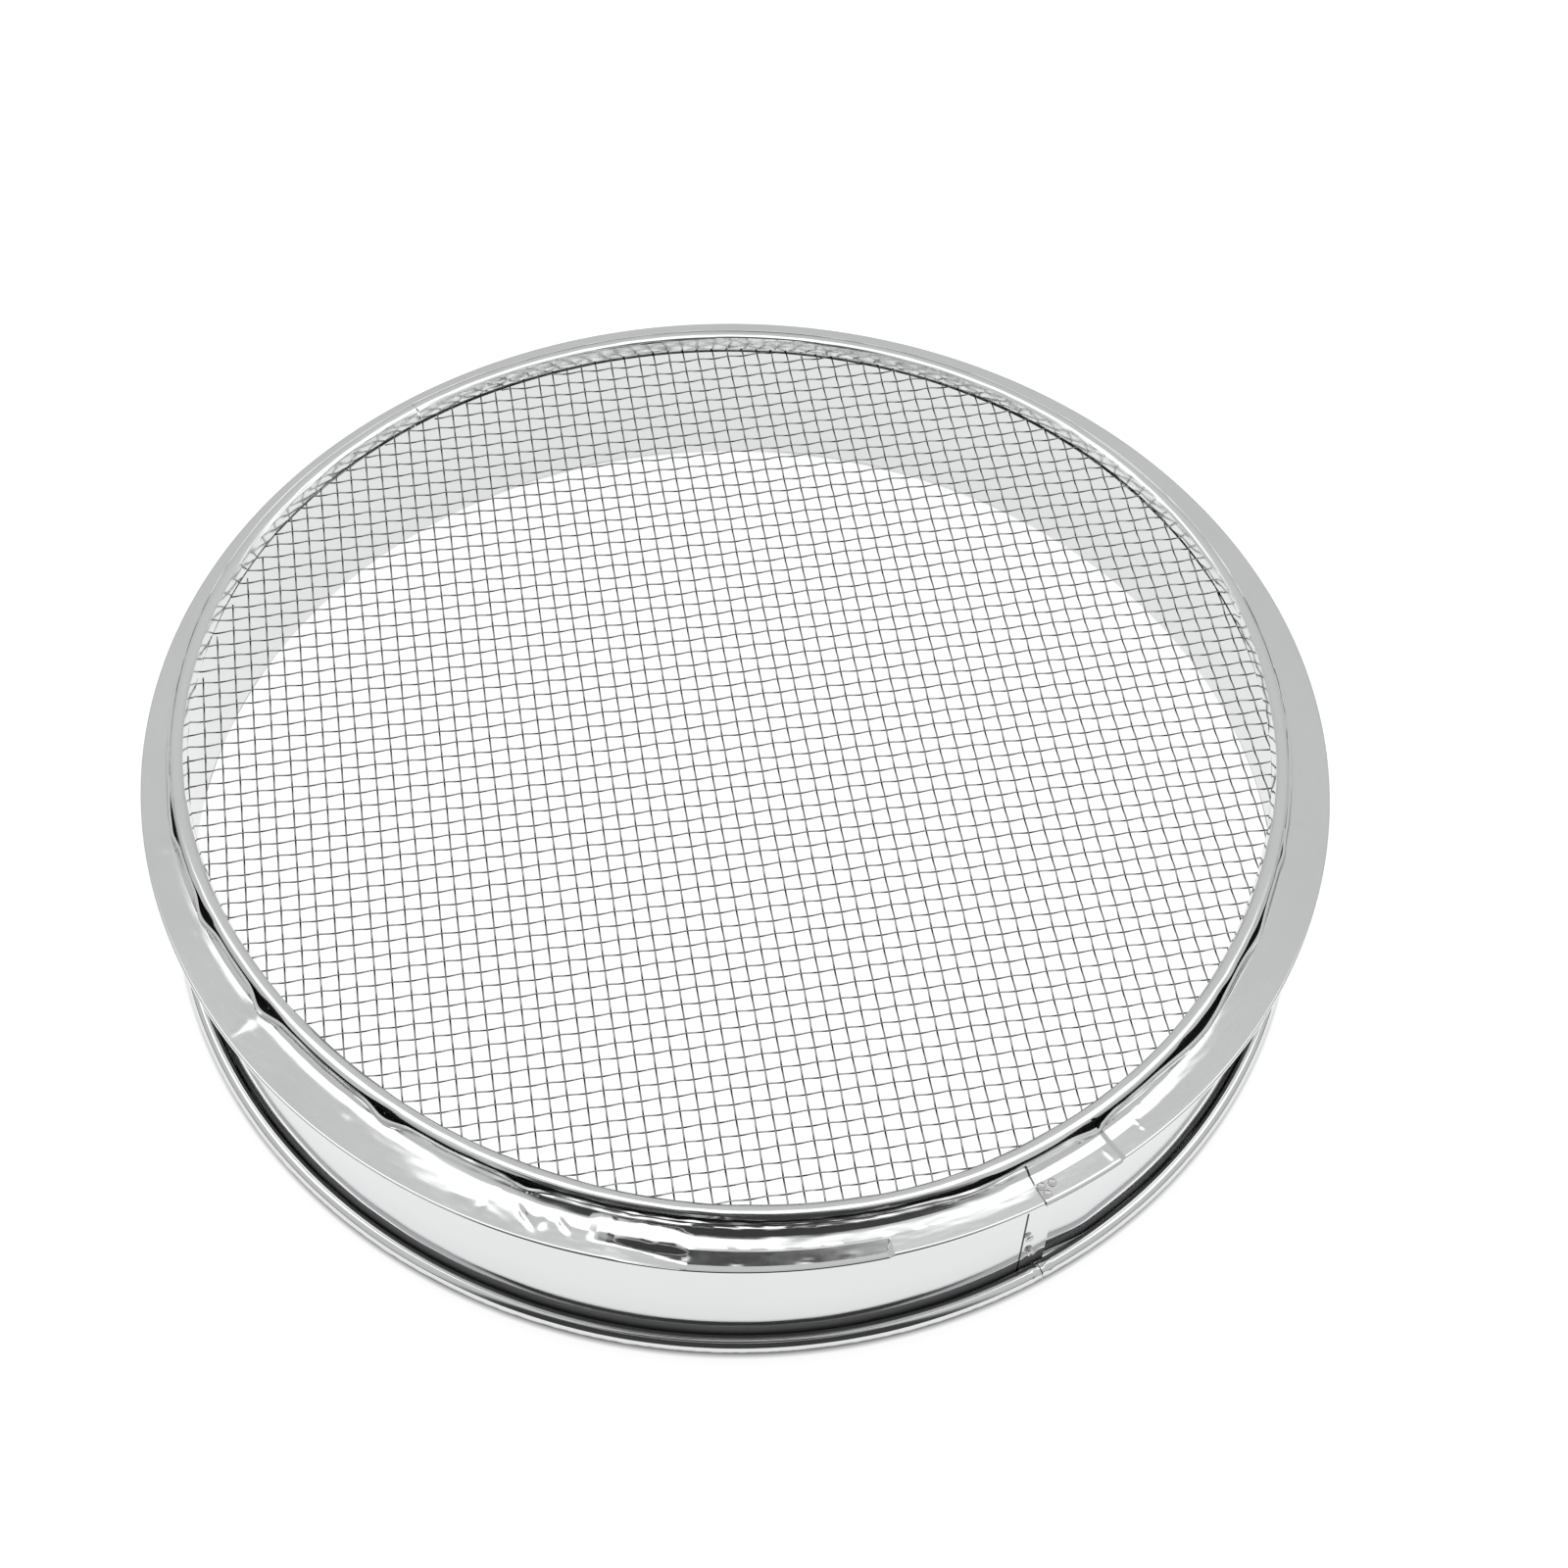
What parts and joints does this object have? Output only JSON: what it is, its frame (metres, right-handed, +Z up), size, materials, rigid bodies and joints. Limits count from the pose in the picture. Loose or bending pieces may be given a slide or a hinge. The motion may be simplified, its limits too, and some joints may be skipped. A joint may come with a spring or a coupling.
{
  "type": "soil sieve",
  "caption": "Round shallow stainless-steel garden soil sieve: woven wire mesh clamped in a hoop on a deep band with a rolled rim.",
  "frame": {"origin": "centre of the circle on which the rolled rim rests", "axes": "+Z up along the sieve's axis, from the open rolled rim to the mesh; -Y towards the side with the lap seams a little to its right"},
  "size_m": [0.3, 0.3, 0.053],
  "materials": {
    "wall_sheet": "bright polished stainless sheet",
    "hoop_sheet": "polished stainless sheet, dented along the brim",
    "ring_sheet": "bright polished stainless sheet",
    "mesh_wire": "drawn stainless wire, dull",
    "core_wire": "drawn stainless wire",
    "weld_metal": "resistance weld, slightly matt"
  },
  "bodies": {
    "root": {"frame_wall": "wall_sheet", "rim_wire": "core_wire", "clamp_hoop": "hoop_sheet", "retaining_ring": "ring_sheet", "warp_wires": "mesh_wire", "weft_wires": "mesh_wire", "hoop_weld_inner": "weld_metal", "hoop_weld_outer": "weld_metal", "hoop_weld_lip": "weld_metal", "wall_weld_upper": "weld_metal", "wall_weld_lower": "weld_metal", "rim_weld": "weld_metal"}
  },
  "joints": []
}
